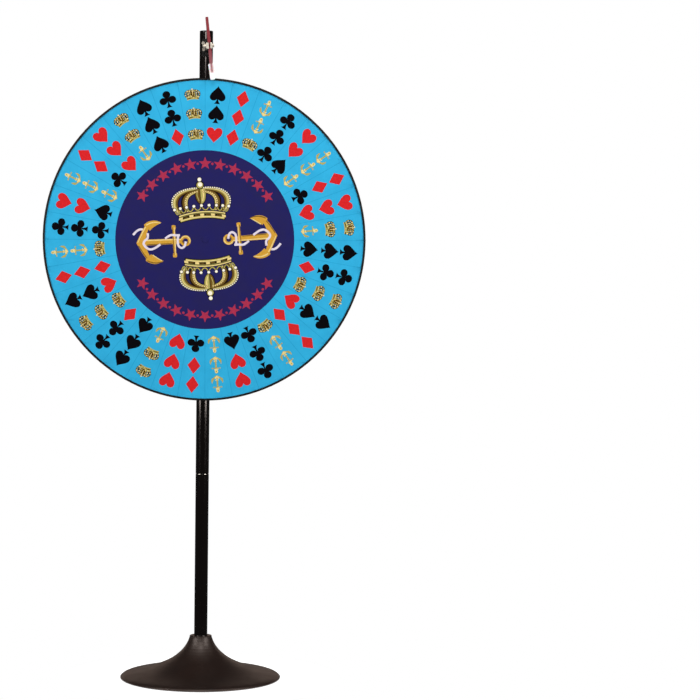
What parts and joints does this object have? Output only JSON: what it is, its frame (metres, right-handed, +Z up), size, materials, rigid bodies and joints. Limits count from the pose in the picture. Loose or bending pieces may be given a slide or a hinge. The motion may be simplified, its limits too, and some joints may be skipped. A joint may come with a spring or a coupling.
{
  "type": "carnival game wheel",
  "caption": "Floor-standing carnival game wheel: a printed round board spins on a ball-bearing hub in front of a pole on a trumpet base, with a sprung flapper that clicks on pegs.",
  "frame": {"origin": "on the floor under the pole's axis, the middle of the base", "axes": "+Z up along the pole, -Y out of the wheel's printed face, +X to the right as seen from the front"},
  "size_m": [0.9143, 0.4618, 1.8945],
  "materials": {
    "black_paint": "satin black paint on steel",
    "iron": "as cast",
    "steel": "bright turned steel",
    "zinc": "bright zinc plate",
    "rubber": "matte black",
    "black_oxide": "black oxide",
    "black_plastic": "moulded black",
    "board": "fibreboard painted black",
    "sky_print": "printed sheet, light blue",
    "navy_print": "printed sheet, navy",
    "red_strip": "red flexible urethane",
    "white_nylon": "white moulded nylon"
  },
  "bodies": {
    "stand": {"base_shell": "black_paint", "base_weight": "iron", "base_plate": "steel", "plate_screws": "zinc", "rubber_feet": "rubber", "base_bolt": "zinc", "base_washer": "zinc", "neck_collar": "black_paint", "lower_pole": "black_paint", "lower_plug": "steel", "coupler": "steel", "coupler_screws": "black_oxide", "upper_pole": "black_paint", "pole_cap": "black_plastic", "front_saddle": "black_paint", "rear_saddle": "black_paint", "axle_bolt": "zinc", "front_washer": "zinc", "rear_washer": "zinc", "axle_nut": "zinc", "rear_spacer": "steel", "bearing_spacer": "steel", "front_inner_race": "steel", "rear_inner_race": "steel", "flapper_bracket": "black_paint", "bracket_screws": "black_oxide", "clamp_plate": "zinc", "clamp_keeper": "zinc", "clamp_bolt": "zinc", "flapper_tail": "red_strip"},
    "wheel": {"front_outer_race": "steel", "rear_outer_race": "steel", "front_balls": "zinc", "rear_balls": "zinc", "hub": "black_paint", "hub_screws": "zinc", "wheel_board": "board", "ring_print": "sky_print", "centre_print": "navy_print", "rim_band": "black_paint", "band_screws": "black_oxide", "pegs": "black_oxide", "centre_cap": "navy_print"},
    "flapper": {"flapper_blade": "red_strip", "flapper_tip": "white_nylon"},
    "wing_nut": {"wing_nut": "zinc"}
  },
  "joints": [
    {"name": "wheel_spin", "type": "hinge", "parent": "stand", "child": "wheel", "pos_m": [0, -0.07, 1.2665], "axis": [0, -1, 0], "continuous": true},
    {"name": "flapper_flex", "type": "hinge", "parent": "stand", "child": "flapper", "pos_m": [0.00856, -0.09, 1.79958], "axis": [0, -1, 0], "range_deg": [-3, 20], "stiffness_Nm_per_rad": 0.8},
    {"name": "wing_nut_turn", "type": "hinge", "parent": "stand", "child": "wing_nut", "pos_m": [0.0071, -0.09, 1.8135], "axis": [-0.9945, 0, -0.1045], "range_deg": [0, 360]}
  ]
}
